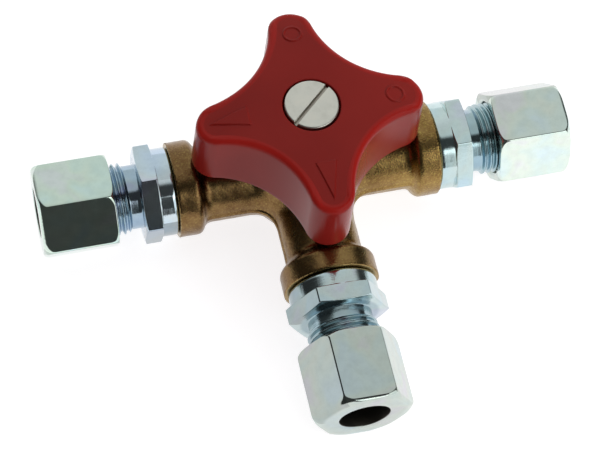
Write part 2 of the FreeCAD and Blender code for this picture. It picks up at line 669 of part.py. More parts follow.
def star(sk, tip_at, tip_r, waist, hollow):
    """Four arm tips joined by hollow arcs, tangent all round."""
    k = [0.0, math.pi / 2, math.pi, 3 * math.pi / 2]
    far = waist.v + hollow.v
    tips, arcs = [], []
    cx, cy = far * math.cos(math.pi / 4), far * math.sin(math.pi / 4)
    ang = math.atan2(cy, cx - tip_at.v)
    for a in k:
        c0 = Vector(tip_at.v * math.cos(a), tip_at.v * math.sin(a), 0)
        tips.append(sk.addGeometry(Part.ArcOfCircle(
            Part.Circle(c0, Vector(0, 0, 1), tip_r.v), a - ang, a + ang)))
        m = a + math.pi / 4
        c1 = Vector(far * math.cos(m), far * math.sin(m), 0)
        start = a + ang + math.pi
        stop = a + math.pi / 2 - ang + math.pi
        arcs.append(sk.addGeometry(Part.ArcOfCircle(
            Part.Circle(c1, Vector(0, 0, 1), hollow.v), stop, start)))
    for i in range(4):
        j = (i + 1) % 4
        sk.addConstraint(Sketcher.Constraint("Tangent", tips[i], 2, arcs[i], 2))
        sk.addConstraint(Sketcher.Constraint("Tangent", arcs[i], 1, tips[j], 1))
    signs = [(1, 0), (0, 1), (-1, 0), (0, -1)]
    for i in range(4):
        sx, sy = signs[i]
        hold(sk, tips[i], 3, tip_at * sx if sx else q(0), tip_at * sy if sy else q(0))
        if i:
            sk.addConstraint(Sketcher.Constraint("Equal", tips[0], tips[i]))
            sk.addConstraint(Sketcher.Constraint("Equal", arcs[0], arcs[i]))
    n = sk.addConstraint(Sketcher.Constraint("Radius", tips[0], tip_r.v))
    sk.setExpression("Constraints[%d]" % n, tip_r.e)
    n = sk.addConstraint(Sketcher.Constraint("Radius", arcs[0], hollow.v))
    sk.setExpression("Constraints[%d]" % n, hollow.e)


def hollow_radius(tip_at, tip_r, waist):
    """Radius of the hollow arc that meets both neighbouring tips."""
    a, t, w0 = tip_at.v, tip_r.v, waist.v
    return (w0 * w0 - math.sqrt(2) * a * w0 + a * a - t * t) / \
        (2 * t - 2 * w0 + math.sqrt(2) * a)


sheet.set("B%d" % [i for i in range(1, row[0] + 1)
                   if sheet.getAlias("B%d" % i) == "grip_hollow"][0],
          str(round(hollow_radius(grip_tip_at, grip_tip_r, grip_waist), 6)))
grip_hollow = Q(round(hollow_radius(grip_tip_at, grip_tip_r, grip_waist), 6),
                "Dims.grip_hollow")
doc.recompute()
print("hollow arc radius", grip_hollow.v)

sk = sketch(gr, "star_outline", "XY_Plane", grip_low)
star(sk, grip_tip_at, grip_tip_r, grip_waist, grip_hollow)
pad(gr, "star", sk, grip_top - grip_low, taper=-grip_draft)
# the top falls a little from the middle to the arm tips
reach = q(34.0)
revolve(gr, "crown", [
    (q(8.0), grip_top), (reach, grip_top - grip_drop * (26.0 / 19.0)),
    (reach, grip_top + 1.0), (q(8.0), grip_top + 1.0)], cut=True)
top_edges = []
for i, e in enumerate(gr.Shape.Edges):
    box = e.BoundBox
    mid = e.valueAt((e.FirstParameter + e.LastParameter) / 2)
    if (box.ZMin > grip_top.v - 3.2 and math.hypot(mid.x, mid.y) > 12
            and not isinstance(e.Curve, Part.Line)):
        top_edges.append("Edge%d" % (i + 1))
crowned = gr.Tip
f = gr.newObject("PartDesign::Fillet", "top_rounding")
f.Base = (crowned, top_edges)
f.Radius = grip_edge.v
f.setExpression("Radius", grip_edge.e)
doc.recompute()
sk = sketch(gr, "inside_outline", "XY_Plane", grip_low)
inner_tip = grip_tip_r - grip_wall
inner_hollow = grip_hollow + grip_wall
star(sk, grip_tip_at, inner_tip, grip_waist - grip_wall, inner_hollow)
f = pocket(gr, "inside", sk, grip_roof - grip_low)
f.TaperAngle = -grip_draft.v
f.setExpression("TaperAngle", (-grip_draft).e)
doc.recompute()
sk = sketch(gr, "boss_circle", "XY_Plane", grip_boss_z)
circle(sk, 0, 0, grip_boss_r)
pad(gr, "boss", sk, grip_roof - grip_boss_z + 0.5)
sk = sketch(gr, "square_hole_shape", "XY_Plane", grip_boss_z)
g = grip_square / 2
rectangle(sk, -g, g, -g, g)
pocket(gr, "square_hole", sk, grip_square_top - grip_boss_z)
sk = sketch(gr, "screw_way_circle", "XY_Plane", grip_boss_z)
circle(sk, 0, 0, grip_hole_r)
pocket(gr, "screw_way", sk, q(20.0))
sk = sketch(gr, "counterbore_circle", "XY_Plane", grip_cbore_z)
circle(sk, 0, 0, grip_cbore_r)
pocket(gr, "counterbore", sk, q(6.0))
keep(gr)

# -------------------------------------------------- handle screw, washer
sc = body_of("handle_screw")
revolve(sc, "screw_turned", [
    (0, shank_low), (shank_r - 0.4, shank_low), (shank_r, shank_low + 0.6),
    (shank_r, head_low), (head_r, head_low), (head_r, head_top - head_bevel),
    (head_r - head_bevel, head_top), (0, head_top)])
sk = sketch(sc, "driver_slot_shape", "XY_Plane", head_top - cut_deep)
rectangle(sk, -(head_r + 1.0), head_r + 1.0, -(cut_w / 2), cut_w / 2)
pocket(sc, "driver_slot", sk, cut_deep + 1.0)
place(sc, (0, 0, 0), Rotation(Vector(0, 0, 1), 42.0))
keep(sc)

lw = body_of("handle_lock_washer")
revolve(lw, "lock_washer", [
    (lock_in, grip_cbore_z), (lock_out, grip_cbore_z),
    (lock_out, head_low), (lock_in, head_low)])
keep(lw)

doc.recompute()

# ---------------------------------------------------------------- output
for o in doc.Objects:
    if "Invalid" in o.State or "Error" in o.State:
        raise RuntimeError("%s is %s" % (o.Name, o.State))
for o in nodes:
    s = o.Shape
    if s.isNull() or not s.isValid() or len(s.Solids) != 1 or s.Volume <= 0:
        raise RuntimeError("%s: null %s valid %s solids %d" % (
            o.Label, s.isNull(), s.isValid(), len(s.Solids)))

os.makedirs("parts", exist_ok=True)
for o in nodes:
    o.Shape.exportStep("parts/%s.step" % o.Label)
    b = o.Shape.BoundBox
    print("%-22s vol %9.1f  x %7.2f..%7.2f  y %7.2f..%7.2f  z %6.2f..%6.2f" % (
        o.Label, o.Shape.Volume, b.XMin, b.XMax, b.YMin, b.YMax, b.ZMin, b.ZMax))
print(len(nodes), "nodes")
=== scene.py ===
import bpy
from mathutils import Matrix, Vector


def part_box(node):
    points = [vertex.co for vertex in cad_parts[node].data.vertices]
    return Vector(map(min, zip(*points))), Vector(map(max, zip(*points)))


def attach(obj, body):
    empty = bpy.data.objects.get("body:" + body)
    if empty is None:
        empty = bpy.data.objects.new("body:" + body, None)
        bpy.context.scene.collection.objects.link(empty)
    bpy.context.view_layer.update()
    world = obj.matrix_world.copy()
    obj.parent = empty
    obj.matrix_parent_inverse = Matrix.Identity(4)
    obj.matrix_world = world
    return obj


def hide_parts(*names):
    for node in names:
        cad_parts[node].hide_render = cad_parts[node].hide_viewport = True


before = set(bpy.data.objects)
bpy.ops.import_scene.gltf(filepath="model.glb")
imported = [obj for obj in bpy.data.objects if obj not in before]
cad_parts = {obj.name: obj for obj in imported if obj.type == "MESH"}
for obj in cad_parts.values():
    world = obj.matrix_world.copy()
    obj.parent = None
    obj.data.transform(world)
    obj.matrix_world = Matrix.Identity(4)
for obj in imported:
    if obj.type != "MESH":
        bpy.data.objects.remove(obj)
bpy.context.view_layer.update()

import math
import bpy
import numpy as np
from mathutils import Matrix, Vector

MM = 0.001
TAU = 2 * math.pi

# ------------------------------------------------------------------ places
AXIS_Z = 0.0
lo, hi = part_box("left_cutting_ring")
AXIS_Z = (lo.z + hi.z) / 2 / MM                       # height of the port axes, mm
OUT = {"left": (-1, 0, 0), "right": (1, 0, 0), "branch": (0, -1, 0)}
ACROSS = {"left": (0, -1, 0), "right": (0, -1, 0), "branch": (1, 0, 0)}
NUT_TURN = {"left": 22.2, "right": 34.1, "branch": 33.7}
STUD_TURN = {"left": 11.7, "right": 28.8, "branch": 33.0}


def along(side, node, end):
    """Distance from the stem axis, in mm, to the near or far end of a node on one port."""
    lo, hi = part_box(node)
    axis = 1 if side == "branch" else 0
    vals = sorted((abs(lo[axis]), abs(hi[axis])))
    return vals[end] / MM


PORT_FACE = along("left", "left_collar_seal", 0)
NUT_AT = {s: along(s, "%s_union_nut" % s, 0) for s in OUT}
NUT_LEN = along("left", "left_union_nut", 1) - along("left", "left_union_nut", 0)
HANDLE_LO, HANDLE_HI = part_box("handle")
SCREW_LO, SCREW_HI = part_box("handle_screw")


# ------------------------------------------------------------ mesh helpers
def new_object(name, verts, faces, smooth=True):
    me = bpy.data.meshes.new(name)
    me.from_pydata([tuple(v) for v in verts], [], [tuple(f) for f in faces])
    me.validate()
    me.update()
    if smooth:
        me.polygons.foreach_set("use_smooth", [True] * len(me.polygons))
    ob = bpy.data.objects.new(name, me)
    bpy.context.scene.collection.objects.link(ob)
    return ob


def add_attribute(ob, name, values):
    a = ob.data.attributes.new(name, "FLOAT", "POINT")
    a.data.foreach_set("value", np.asarray(values, np.float32))


def loop_grid(rows, cols, flip=False):
    """Quads of a grid that closes both ways round."""
    i = np.arange(rows)[:, None]
    j = np.arange(cols)[None, :]
    a = i * cols + j
    b = i * cols + (j + 1) % cols
    c = ((i + 1) % rows) * cols + (j + 1) % cols
    d = ((i + 1) % rows) * cols + j
    q = np.stack([a, b, c, d], -1).reshape(-1, 4)
    return q[:, ::-1] if flip else q


def hex_angles(n_face, power=1.5):
    """Angles round a hexagon whose corners are at 0, 60, ..., closer together at the corners."""
    t = np.linspace(-1, 1, n_face, endpoint=False)
    off = 30 * np.sign(t) * np.abs(t) ** power
    return np.radians(np.concatenate([k * 60 + off for k in range(6)]))


def hex_radius(theta, across, sharp):
    """Radius of a hexagon with softened corners, corners at 0, 60, ..."""
    s = np.zeros_like(theta)
    for k in range(6):
        c = np.cos(theta - math.radians(30 + 60 * k))
        s += np.where(c > 0.2, np.maximum(c, 1e-6) ** sharp, 0)
    return (across / 2) / s ** (1 / sharp)


def soft_min(a, b, p):
    return (np.maximum(a, 1e-6) ** -p + np.maximum(b, 1e-6) ** -p) ** (-1 / p)


def port_points(side, u, r, theta):
    """Row frame points in metres. theta is measured from up towards ACROSS."""
    o = np.array(OUT[side], float)
    x = np.array(ACROSS[side], float)
    z = np.array((0, 0, 1.0))
    p = (o[None, :] * u[:, None] + (r * np.cos(theta))[:, None] * z[None, :]
         + (r * np.sin(theta))[:, None] * x[None, :])
    p[:, 2] += AXIS_Z
    return p * MM


def smoothstep(a, b, x):
    t = np.clip((x - a) / (b - a), 0, 1)
    return t * t * (3 - 2 * t)


# painted shading: each flat is darkened or brightened in its colour in place of reflections the lamps don't give; the
# flats count round from the first corner
PAINTED_FLAT_SHADING = {"left_nut_body": (1.12, 0.78, 0.95, 1.0, 1.0, 0.98),
        "right_nut_body": (1.25, 0.95, 1.0, 1.0, 0.66, 1.07),
        "left_stud_body": (1.1, 0.62, 1.0, 1.0, 1.0, 0.96),
        "branch_stud_body": (0.97, 1.0, 1.0, 1.0, 0.64, 1.0),
        "branch_nut_body": (0.98, 1.0, 1.0, 1.0, 0.74, 0.95)}


def turned_part(name, side, rows, theta, turn, hexr=None):
    """Closed body round a port axis. rows is a list of (u, r) with r a number or an array over theta."""
    n = len(theta)
    us, rs = [], []
    for u, r in rows:
        us.append(np.full(n, float(u)) if np.isscalar(u) else u)
        rs.append(np.full(n, float(r)) if np.isscalar(r) else r)
    us, rs = np.concatenate(us), np.concatenate(rs)
    flats = None
    if hexr is not None:
        flats = (np.abs(rs - np.tile(hexr, len(rows))) < 0.12).astype(float)
    th = np.tile(theta, len(rows)) + math.radians(turn)
    pts = port_points(side, us, rs, th)
    # handedness of (up, ACROSS, OUT) decides which way round the faces go
    hand = np.dot(np.cross((0, 0, 1.0), ACROSS[side]), OUT[side])
    ob = new_object(name, pts, loop_grid(len(rows), n, flip=hand < 0))
    add_attribute(ob, "lathe", rs + us * 0.7)
    add_attribute(ob, "flat", flats if flats is not None else np.zeros(len(rs)))
    face = np.tile(np.floor(np.degrees(theta) / 60.0 + 1e-6).astype(int) % 6, len(rows))
    # painted shading per flat, with a little random tone on top; rows inside r 9.9 get a painted shade of 0.92
    painted_tones = np.array(PAINTED_FLAT_SHADING.get(name, (1.0,) * 6)) * (0.985 + 0.03 * np.modf(np.arange(6) * 0.618 + len(name) * 0.37)[0])
    add_attribute(ob, "painted_shading", 1.0 - np.where(rs > 9.9, painted_tones[face], 0.92))
    # bore rows, which the material paints nearly black as painted shade
    add_attribute(ob, "bore", (rs < 6.32).astype(float))
    # neck and thread zone: bluer passivation, and darker as painted shade
    add_attribute(ob, "neck_shade_and_blue", smoothstep(10.3, 9.2, rs) * (us > PORT_FACE + 8.3) * (us < PORT_FACE + 22.4)
                  * (1.0 if "stud" in name else 0.4))
    return ob


def fall(xs, degrees):
    """How far a rounding has fallen after x mm, from its slope in degrees at each of xs."""
    x = np.linspace(xs[0], xs[-1], 400)
    t = np.tan(np.radians(np.interp(x, xs, degrees)))
    y = np.concatenate([[0.0], np.cumsum((t[1:] + t[:-1]) / 2 * np.diff(x))])
    return lambda v: float(np.interp(v, x, y))


# ------------------------------------------------------------- union nuts
FLAT_FALL = fall((0.0, 0.06, 0.45, 0.84, 0.94), (0.0, 22.0, 28.0, 42.0, 80.0))
CORNER_FALL = fall((0.0, 0.20, 1.70, 2.30), (0.0, 22.0, 44.0, 74.0))


def union_nut(side):
    theta = hex_angles(40)
    start, L = NUT_AT[side], NUT_LEN
    hexr = hex_radius(theta, 22.0, 80)
    rows = []

    def outer(u):
        # turned chamfers cut the corners deep and the flats a little, and blend into the flats
        d_far, d_near = L - u, u
        roll = 0.0
        if d_far < 0.94:
            roll = FLAT_FALL(0.94 - d_far)
        if d_near < 0.35:
            roll = 0.22 * (1 - math.sqrt(max(0.0, 1 - ((0.35 - d_near) / 0.35) ** 2)))
        r = hexr - roll / np.maximum(np.cos(np.mod(theta, math.radians(60)) - math.radians(30)), 0.5)
        if d_far < 2.3:
            r = soft_min(r, np.full_like(hexr, 12.76 - CORNER_FALL(2.3 - d_far)), 120)
        if d_near < 2.1:
            lim = 10.9 + 1.85 * math.sqrt(max(0.0, 1 - ((2.1 - d_near) / 2.1) ** 2))
            r = soft_min(r, np.full_like(hexr, lim), 110)
        return r

    ends = [0.0, 0.012, 0.03, 0.055, 0.085, 0.12, 0.16, 0.21, 0.27, 0.34, 0.42, 0.51, 0.6, 0.7,
            0.82, 0.95, 1.1, 1.27, 1.45, 1.65, 1.9, 2.2, 2.5, 3.0, 3.8]
    span = [e for e in ends] + list(np.linspace(4.8, L - 4.8, 8)) + [L - e for e in ends[::-1]]
    for k, u in enumerate(span):
        r = outer(u)
        rows.append((start + u, r))
    # outer end face, in to the tube hole
    first = rows[-1][1]
    for f in (0.25, 0.5, 0.75):
        rows.append((start + L, first * (1 - f) + 6.5 * f))
    hole = [(L, 6.5), (L - 0.06, 6.33), (L - 0.18, 6.24), (L - 0.32, 6.2),
            (L - 2.0, 6.2), (13.45, 6.2), (13.3, 6.3), (12.0, 7.65), (10.9, 8.75), (10.62, 9.05)]
    for u, r in hole:
        rows.append((start + u, r))
    # female thread, right-handed, 1.5 mm pitch, in phase with the stud's
    pitch = 1.5
    ts = np.arange(10.4, 0.55, -pitch / 8)
    for u in ts:
        ph = ((start + u - PORT_FACE) - 11.3) / pitch - (theta + math.radians(NUT_TURN[side])) * SPIN[side] / TAU
        ph = ph - np.floor(ph)
        tri = 1 - np.abs(2 * ph - 1)
        g = np.clip((tri - 0.2) / 0.7, 0, 1)
        fade = smoothstep(10.5, 9.4, u) * smoothstep(0.5, 1.2, u)
        rows.append((start + u, 9.07 + 0.55 * g * fade))
    rows += [(start + 0.5, 9.1), (start + 0.3, 9.3), (start + 0.0, 9.62)]
    first = rows[0][1]
    for f in (0.3, 0.7):
        rows.append((start, 9.62 * (1 - f) + first * f))
    return turned_part("%s_nut_body" % side, side, rows, theta, NUT_TURN[side], hexr)


# +1 where theta grows by the right-hand rule about the outward axis
SPIN = {s: float(np.dot(np.cross((0, 0, 1.0), ACROSS[s]), OUT[s])) for s in OUT}


# ---------------------------------------------------------- stud fittings
def stud_fitting(side):
    theta = hex_angles(40)
    p = PORT_FACE
    hexr = hex_radius(theta, 22.0, 80)
    rows = []

    def add(u, r):
        rows.append((p + u, r))
    # port thread, mostly hidden in the body: plain with fine grooves
    add(-11.0, 5.0); add(-11.0, 5.6); add(-11.0, 7.2); add(-10.6, 7.6)
    for u in np.arange(-10.2, -2.2, 0.32):
        ph = (u / 1.337 - theta * SPIN[side] / TAU)
        ph = ph - np.floor(ph)
        add(u, 7.55 + 0.38 * np.clip(1.25 * (1 - np.abs(2 * ph - 1)) - 0.12, 0, 1))
    add(-2.0, 7.35); add(-1.9, 7.3); add(-0.1, 7.3); add(0.0, 7.4)
    # face with the seal groove, then the round collar
    for u, r in ((0.0, 8.6), (0.05, 8.7), (1.05, 8.7), (1.1, 8.8), (1.1, 9.8), (1.05, 9.9),
                 (0.05, 9.9), (0.0, 10.0), (0.0, 10.2), (0.08, 10.45), (0.24, 10.7), (0.42, 10.88),
                 (0.62, 10.98), (1.2, 10.98), (2.4, 10.98), (3.4, 10.98), (3.7, 10.98), (3.9, 10.98),
                 (4.0, 10.98)):
        add(u, r)
    # hexagon: corners fall to the collar behind and are chamfered in front
    h0, h1 = 4.03, 8.45
    for u in (4.03, 4.06, 4.1, 4.15, 4.21, 4.28, 4.36, 4.45, 4.6, 4.9, 5.6, 6.4, 7.2, 7.5,
              7.7, 7.85, 7.97, 8.07, 8.16, 8.24, 8.31, 8.37, 8.42, 8.45):
        back = 11.0 + (u - h0) * 5.5
        front = 11.05 + (h1 - u) * 4.2
        r = soft_min(hexr, np.full_like(hexr, back), 160)
        r = soft_min(r, np.full_like(hexr, front), 160)
        d = min(u - h0, h1 - u)
        if d < 0.28:
            r = r - 0.2 * (1 - math.sqrt(max(0.0, 1 - ((0.28 - d) / 0.28) ** 2)))
        add(u, np.maximum(r, 10.98) if u < 4.3 else r)
    last = rows[-1][1]
    for f in (0.08, 0.3, 0.6, 0.9):
        add(h1 + 0.02, last * (1 - f) + 8.3 * f)
    add(h1 + 0.05, 8.12); add(h1 + 0.14, 8.0); add(h1 + 0.3, 7.95)
    add(9.6, 7.95); add(10.6, 7.95)
    # nut thread, right-handed, 1.5 mm pitch
    pitch, end = 1.5, 22.5
    for u in np.arange(11.0, end - 0.35, pitch / 16):
        ph = (u - 11.3) / pitch - (theta + math.radians(STUD_TURN[side])) * SPIN[side] / TAU
        ph = ph - np.floor(ph)
        tri = 1 - np.abs(2 * ph - 1)
        g = np.clip((tri - 0.16) / 0.66, 0, 1)
        g = g * g * (3 - 2 * g) * 0.35 + g * 0.65
        fade = smoothstep(11.0, 12.3, u) * 1.0
        tip = np.clip((end - 0.1 - u) / 0.9, 0, 1)
        add(u, 8.02 - 0.07 * (1 - fade) + 0.88 * g * fade * tip)
    add(end - 0.25, 7.98); add(end - 0.08, 7.85); add(end, 7.7)
    for u, r in ((end, 7.3), (end - 0.06, 7.1), (end - 0.3, 6.99), (20.0, 6.52), (18.1, 6.12),
                 (17.9, 6.1), (16.0, 6.1), (14.6, 6.1), (14.5, 6.0), (14.5, 5.1), (14.4, 5.0),
                 (8.0, 5.0), (0.0, 5.0), (-6.0, 5.0)):
        add(u, r)
    return turned_part("%s_stud_body" % side, side, rows, theta, STUD_TURN[side], hexr)


# --------------------------------------------------------- forged T body
def surface_nets(f, lo, hi, h):
    """Closed quad mesh of f = 0 on a regular grid, one vertex in each mixed cell."""
    ax = [np.arange(lo[k], hi[k] + h, h) for k in range(3)]
    n = [len(a) for a in ax]
    X, Y, Z = np.meshgrid(*ax, indexing="ij")
    V = f(X.ravel(), Y.ravel(), Z.ravel()).reshape(n)
    S = V < 0
    c = [k - 1 for k in n]
    count = np.zeros(c, np.int8)
    acc = [np.zeros(c) for _ in range(3)]
    hits = np.zeros(c)
    corners = [(i, j, k) for i in (0, 1) for j in (0, 1) for k in (0, 1)]

    def part(A, o):
        return A[o[0]:o[0] + c[0], o[1]:o[1] + c[1], o[2]:o[2] + c[2]]
    for o in corners:
        count += part(S, o).astype(np.int8)
    mixed = (count > 0) & (count < 8)
    for axis in range(3):
        others = [k for k in range(3) if k != axis]
        for a in (0, 1):
            for b in (0, 1):
                o0 = [0, 0, 0]; o0[others[0]] = a; o0[others[1]] = b
                o1 = list(o0); o1[axis] = 1
                v0, v1 = part(V, o0), part(V, o1)
                cross = (v0 < 0) != (v1 < 0)
                den = np.where(cross, v0 - v1, 1.0)
                t = np.where(cross, v0 / den, 0)
                for k in range(3):
                    if k == axis:
                        acc[k] += np.where(cross, t, 0)
                    else:
                        acc[k] += np.where(cross, o0[k], 0)
                hits += cross
    idx = -np.ones(c, np.int64)
    cells = np.argwhere(mixed)
    idx[mixed] = np.arange(len(cells))
    m = hits[mixed]
    verts = np.stack([ax[k][cells[:, k]] + h * acc[k][mixed] / m for k in range(3)], -1)
    faces = []
    for axis in range(3):
        a, b = [(1, 2), (2, 0), (0, 1)][axis]
        sl0 = [slice(None)] * 3; sl0[axis] = slice(0, n[axis] - 1)
        sl1 = [slice(None)] * 3; sl1[axis] = slice(1, n[axis])
        s0, s1 = S[tuple(sl0)], S[tuple(sl1)]
        for pick, order in ((s0 & ~s1, 1), (~s0 & s1, -1)):
            e = np.argwhere(pick)
            e = e[(e[:, a] > 0) & (e[:, b] > 0) & (e[:, a] < n[a] - 1) & (e[:, b] < n[b] - 1)]

            def at(da, db):
                g = e.copy(); g[:, a] -= da; g[:, b] -= db
                return idx[g[:, 0], g[:, 1], g[:, 2]]
            quad = np.stack([at(1, 1), at(0, 1), at(0, 0), at(1, 0)], -1)
            faces.append(quad if order > 0 else quad[:, ::-1])
    faces = np.concatenate(faces)
    for _ in range(3):
        g = np.zeros_like(verts)
        e = 0.02
        for k in range(3):
            d = np.zeros(3); d[k] = e
            p1, p0 = verts + d, verts - d
            g[:, k] = (f(*p1.T) - f(*p0.T)) / (2 * e)
        v = f(*verts.T)
        g2 = np.maximum((g ** 2).sum(1), 0.25)
        step = np.clip(v / g2, -h * 0.5, h * 0.5)
        verts = verts - g * step[:, None]
    return verts, faces


def smin(a, b, k):
    d = np.maximum(k - np.abs(a - b), 0) / k
    return np.minimum(a, b) - d * d * k * 0.25


def smax(a, b, k):
    return -smin(-a, -b, k)


BACK = PORT_FACE - 6.2


def body_field(x, y, z):
    """Signed distance, roughly, in mm; z is measured from the port axes."""
    # gentle unevenness of a forging
    w = (0.024 * np.sin(x * 0.9 + 1.3 * np.sin(y * 0.5)) * np.sin(y * 0.8 + 0.4) * np.sin(z * 0.7 + 1.1)
         + 0.012 * np.sin(x * 2.1 + z * 1.2) * np.sin(y * 1.9 - 0.6 * z)) - 0.04
    ry, rx = np.hypot(y, z), np.hypot(x, z)
    run = smax(ry - 9.4, np.abs(x) - 40.0, 0.5)
    arm = smax(rx - 9.4, np.abs(y + 20.0) - 22.0, 0.5)
    rings = []
    for r, t in ((ry, np.abs(x)), (rx, -y)):
        d = np.maximum(r - (11.9 - 1.6), (BACK + 1.6) - t)
        inner = np.hypot(np.maximum(r - (11.9 - 1.6), 0), np.maximum((BACK + 1.6) - t, 0))
        rings.append(np.where(d > 0, inner, d) - 1.6)
    tee = smin(run, arm, 6.5)
    rh = np.hypot(x, y)
    hub = smax(rh - 12.0 + 0.02 * (z + 2), np.abs(z - 2.5) - 12.5, 1.0)
    foot = smax(rh - 8.5 - 0.06 * (z + 12.8), -(z + 12.8), 0.5)
    foot = smax(foot, z + 3.0, 0.5)
    land2 = smin(np.abs(y) - 9.7, np.maximum(np.abs(x) - 9.7, y), 7.0)
    land2 = np.maximum(land2, np.maximum(np.abs(x) - (BACK - 0.3), -y - (BACK - 0.3)))
    land = smax(land2, np.abs(z) - 0.7, 0.7)
    f = smin(tee, hub, 4.0)
    f = smin(f, foot, 3.0)
    for g in rings:
        f = smin(f, g, 2.6)
    f = smin(f, land, 0.6)
    f = f - w - 0.0
    # machined: port faces, bores, ball chamber, bonnet bore, hub top, base pad
    f = np.maximum(f, np.abs(x) - PORT_FACE)
    f = np.maximum(f, -y - PORT_FACE)
    f = np.maximum(f, y - 11.95)
    f = np.maximum(f, z - (HUB_TOP - AXIS_Z))
    f = np.maximum(f, -z - AXIS_Z)
    depth = PORT_FACE - 12.0
    for r, t in ((ry, np.abs(x)), (rx, -y)):
        tap = np.maximum(r - 8.0, depth - t)
        lead = r - 8.0 - (t - (PORT_FACE - 0.6))
        way = np.maximum(r - 7.475, 1.0 - t)
        f = np.maximum(f, -np.minimum(np.minimum(tap, way), np.maximum(lead, depth - t)))
    chamber = np.maximum(rh - 8.8, (4.0 - AXIS_Z) - z)
    bonnet = np.maximum(rh - 9.6, (21.8 - AXIS_Z) - z)
    f = np.maximum(f, -np.minimum(chamber, bonnet))
    return f


HUB_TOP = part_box("valve_body")[1].z / MM


def forged_body():
    h = 0.4
    v, q = surface_nets(body_field, (-PORT_FACE - 1.1, -PORT_FACE - 1.1, -AXIS_Z - 1.1),
                        (PORT_FACE + 1.1, 13.2, HUB_TOP - AXIS_Z + 1.1), h)
    v = v.copy()
    v[:, 2] = np.maximum(v[:, 2] + AXIS_Z, 0.0)
    ob = new_object("forged_tee_body", v * MM, q)
    z = v[:, 2] - AXIS_Z
    bore = np.minimum(np.minimum(np.hypot(v[:, 1], z), np.hypot(v[:, 0], z) + (v[:, 1] > 0) * 99),
                      np.hypot(v[:, 0], v[:, 1]))
    face = (np.abs(v[:, 0]) > PORT_FACE - 0.03) | (v[:, 1] < -PORT_FACE + 0.03) \
        | (v[:, 2] > HUB_TOP - 0.03)
    inside = bore < 8.9
    add_attribute(ob, "machined", (face | inside).astype(float))
    return ob


# ---------------------------------------------------------------- handle
def star_radius(theta, grow, tip_at=22.75, tip_r=5.6, waist=16.9):
    """Radius of the four-armed outline, moved in by -grow."""
    hollow = (waist ** 2 - math.sqrt(2) * tip_at * waist + tip_at ** 2 - tip_r ** 2) / \
        (2 * tip_r - 2 * waist + math.sqrt(2) * tip_at)
    far = waist + hollow
    a = np.mod(theta + math.pi / 4, math.pi / 2) - math.pi / 4      # -45..45 from the arm
    a = np.abs(a)
    R1, R2 = tip_r + grow, hollow - grow
    # ray to the tip circle
    s = tip_at * np.sin(a)
    tip = tip_at * np.cos(a) + np.sqrt(np.maximum(R1 ** 2 - s ** 2, 0))
    b = math.pi / 4 - a
    s2 = far * np.sin(b)
    hol = far * np.cos(b) - np.sqrt(np.maximum(R2 ** 2 - s2 ** 2, 0))
    # they touch where the line of centres crosses the outline
    cx, cy = far * math.cos(math.pi / 4), far * math.sin(math.pi / 4)
    d = math.hypot(cx - tip_at, cy)
    tx = tip_at + (cx - tip_at) * R1 / d
    ty = cy * R1 / d
    touch = math.atan2(ty, tx)
    return np.where(a <= touch, tip, hol)


def star_angles(n):
    """Angles for the handle's grid, closer together at the arm tips."""
    t = np.linspace(-1, 1, n // 4, endpoint=False)
    off = 45 * (0.62 * t + 0.38 * np.sign(t) * t ** 2)
    return np.radians(np.concatenate([k * 90 + off for k in range(4)]))


